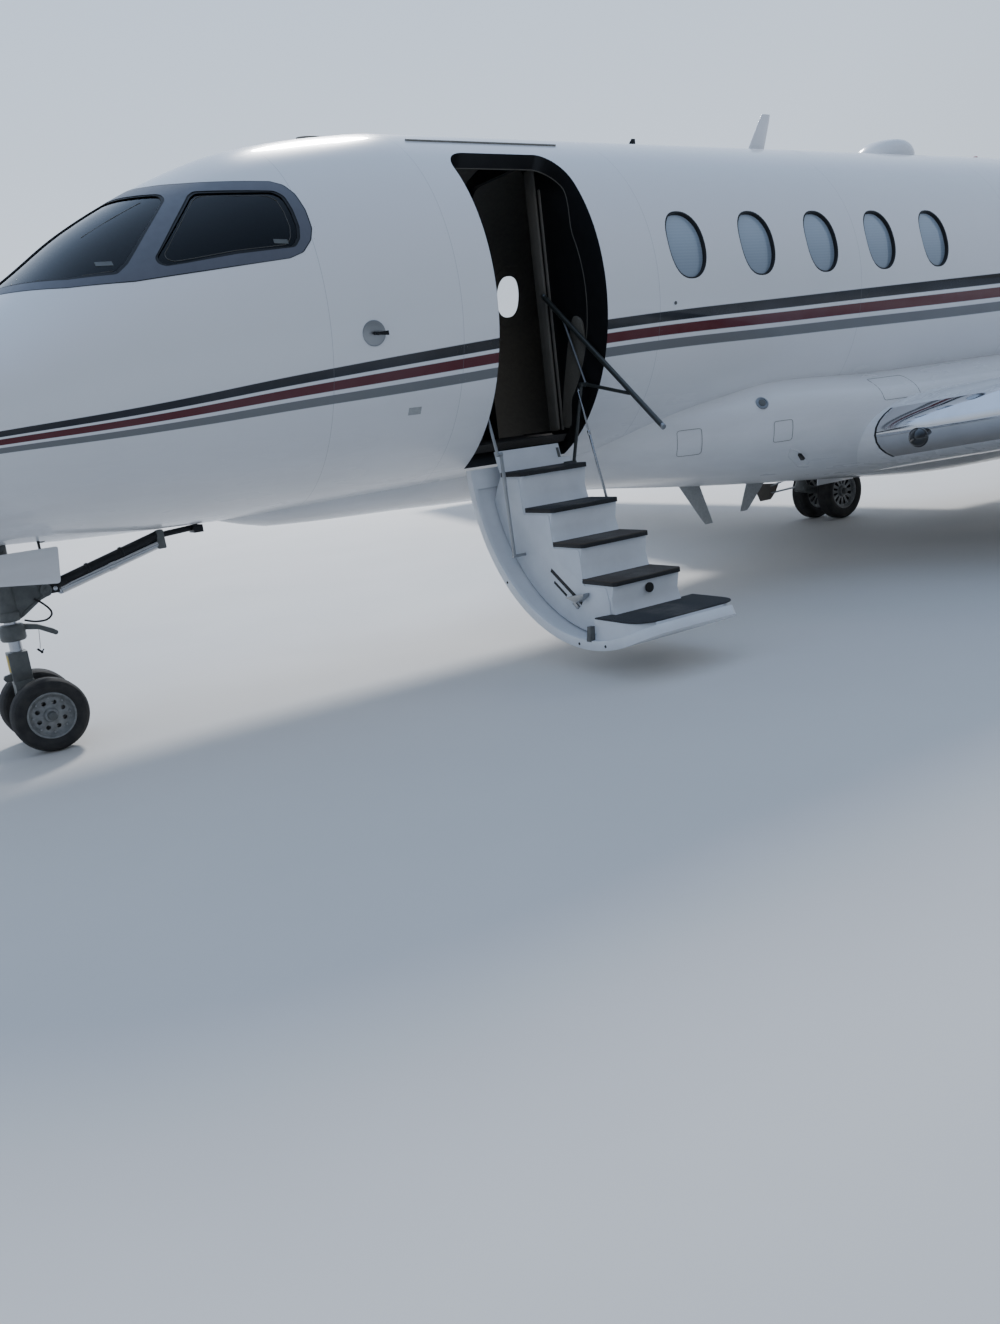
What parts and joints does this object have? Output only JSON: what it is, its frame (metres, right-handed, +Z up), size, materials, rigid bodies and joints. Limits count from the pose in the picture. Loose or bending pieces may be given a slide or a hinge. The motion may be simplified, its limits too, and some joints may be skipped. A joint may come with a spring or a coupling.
{
  "type": "business jet",
  "caption": "Twin-engine business jet on its landing gear with the cabin airstair open, control surfaces, fans and wheels free to move.",
  "frame": {"origin": "on the ground under the centre of the bounding box, with the tyres on z = 0", "axes": "+X towards the nose, +Y to port (the door side), +Z up"},
  "size_m": [18.97, 22.05, 6.38],
  "materials": {
    "paint": "gloss",
    "cabin_trim": "matte",
    "floor_panel": "matte",
    "cockpit_trim": "matte",
    "cockpit_glass": "polished",
    "cabin_glass": "polished",
    "gear_metal": "satin",
    "polished_metal": "polished",
    "dark_metal": "satin",
    "fan_metal": "satin",
    "tyre": "matte"
  },
  "bodies": {
    "airframe": {"nose_section": "paint", "forward_fuselage": "paint", "mid_fuselage": "paint", "tail_cone": "paint", "wing_fairing": "paint", "wing_left": "paint", "wing_right": "paint", "flap_left": "paint", "flap_right": "paint", "nacelle_left": "paint", "nacelle_right": "paint", "fin": "paint", "tailplane": "paint", "nose_gear_door": "paint", "crown_blade_aerial": "paint", "crown_dome_aerial": "paint", "belly_aerial_forward": "paint", "belly_aerial_aft": "paint", "crew_bulkhead": "cabin_trim", "cabin_partition": "cabin_trim", "galley_cabinet": "cabin_trim", "cabin_floor": "floor_panel", "cockpit_interior": "cockpit_trim", "windshield_left": "cockpit_glass", "windshield_right": "cockpit_glass", "cockpit_side_window_left": "cockpit_glass", "cockpit_side_window_right": "cockpit_glass", "cabin_windows_left": "cabin_glass", "cabin_windows_right": "cabin_glass", "nose_gear_leg": "gear_metal", "main_gear_leg_left": "gear_metal", "main_gear_leg_right": "gear_metal", "nose_gear_brace": "polished_metal", "engine_core_left": "dark_metal", "engine_core_right": "dark_metal"},
    "airstair": {"airstair_shell": "paint", "airstair_steps": "paint"},
    "rail_post": {"rail_post": "dark_metal"},
    "handrail": {"handrail": "dark_metal"},
    "rail_rod": {"rail_rod": "polished_metal"},
    "stay_upper": {"stay_upper": "polished_metal"},
    "stay_lower": {"stay_lower": "polished_metal"},
    "nose_steering": {"nose_gear_fork": "polished_metal"},
    "nose_wheels": {"nose_wheel_left": "tyre", "nose_wheel_right": "tyre"},
    "main_wheels_left": {"main_wheel_left_inner": "tyre", "main_wheel_left_outer": "tyre"},
    "main_wheels_right": {"main_wheel_right_inner": "tyre", "main_wheel_right_outer": "tyre"},
    "fan_left": {"fan_left": "fan_metal"},
    "fan_right": {"fan_right": "fan_metal"},
    "rudder": {"rudder": "paint"},
    "elevators": {"elevator_left": "paint", "elevator_right": "paint"},
    "aileron_left": {"aileron_left": "paint"},
    "aileron_right": {"aileron_right": "paint"}
  },
  "joints": [
    {"name": "airstair_hinge", "type": "hinge", "parent": "airframe", "child": "airstair", "pos_m": [4.543, 0.48, 1.16], "axis": [1, 0, 0], "range_deg": [0, 114.5]},
    {"name": "rail_post_pivot", "type": "hinge", "parent": "airstair", "child": "rail_post", "pos_m": [4.219, 0.66, 1.118], "axis": [1, 0, 0], "range_deg": [-106.8, 0]},
    {"name": "handrail_pivot", "type": "hinge", "parent": "rail_post", "child": "handrail", "pos_m": [4.183, 0.815, 1.587], "axis": [1, 0, 0], "range_deg": [0, 92.8]},
    {"name": "rail_rod_pivot", "type": "hinge", "parent": "airstair", "child": "rail_rod", "pos_m": [4.24, 0.992, 0.862], "axis": [1, 0, 0], "range_deg": [-136.1, 0]},
    {"name": "stay_upper_pivot", "type": "hinge", "parent": "airframe", "child": "stay_upper", "pos_m": [4.905, 0.762, 1.49], "axis": [1, 0, 0], "range_deg": [-74, 0]},
    {"name": "stay_lower_pivot", "type": "hinge", "parent": "airstair", "child": "stay_lower", "pos_m": [4.881, 0.85, 0.63], "axis": [1, 0, 0], "range_deg": [0, 13.7]},
    {"name": "nose_steering", "type": "hinge", "parent": "airframe", "child": "nose_steering", "pos_m": [7.595, 0, 0.6], "axis": [0, 0, 1], "range_deg": [-60, 60]},
    {"name": "nose_wheel_spin", "type": "hinge", "parent": "nose_steering", "child": "nose_wheels", "pos_m": [7.525, 0, 0.198], "axis": [0, 1, 0], "continuous": true},
    {"name": "main_wheel_spin_left", "type": "hinge", "parent": "airframe", "child": "main_wheels_left", "pos_m": [-0.639, 1.42, 0.28], "axis": [0, 1, 0], "continuous": true},
    {"name": "main_wheel_spin_right", "type": "hinge", "parent": "airframe", "child": "main_wheels_right", "pos_m": [-0.639, -1.42, 0.28], "axis": [0, 1, 0], "continuous": true},
    {"name": "fan_spin_left", "type": "hinge", "parent": "airframe", "child": "fan_left", "pos_m": [-3.665, 1.76, 2.69], "axis": [1, 0, 0], "continuous": true},
    {"name": "fan_spin_right", "type": "hinge", "parent": "airframe", "child": "fan_right", "pos_m": [-3.665, -1.76, 2.69], "axis": [1, 0, 0], "continuous": true},
    {"name": "rudder_hinge", "type": "hinge", "parent": "airframe", "child": "rudder", "pos_m": [-8.54613, 0, 5.165], "axis": [-0.3408, 0, 0.9401], "range_deg": [-25, 25]},
    {"name": "elevator_hinge", "type": "hinge", "parent": "airframe", "child": "elevators", "pos_m": [-8.545, 0, 4.02], "axis": [0, 1, 0], "range_deg": [-20, 15]},
    {"name": "aileron_hinge_left", "type": "hinge", "parent": "airframe", "child": "aileron_left", "pos_m": [-1.60246, 8.725, 1.6762], "axis": [-0.1257, 0.9882, 0.0876], "range_deg": [-18, 18]},
    {"name": "aileron_hinge_right", "type": "hinge", "parent": "airframe", "child": "aileron_right", "pos_m": [-1.60246, -8.725, 1.6762], "axis": [0.1257, 0.9882, -0.0876], "range_deg": [-18, 18]}
  ],
  "couplings": [
    {"joint": "rail_post_pivot", "follows": "airstair_hinge", "ratio": -0.9319},
    {"joint": "handrail_pivot", "follows": "airstair_hinge", "ratio": 0.8096},
    {"joint": "rail_rod_pivot", "follows": "airstair_hinge", "ratio": -1.1878},
    {"joint": "stay_upper_pivot", "follows": "airstair_hinge", "ratio": -0.6454},
    {"joint": "stay_lower_pivot", "follows": "airstair_hinge", "ratio": 0.1188},
    {"joint": "aileron_hinge_right", "follows": "aileron_hinge_left", "ratio": -1}
  ]
}
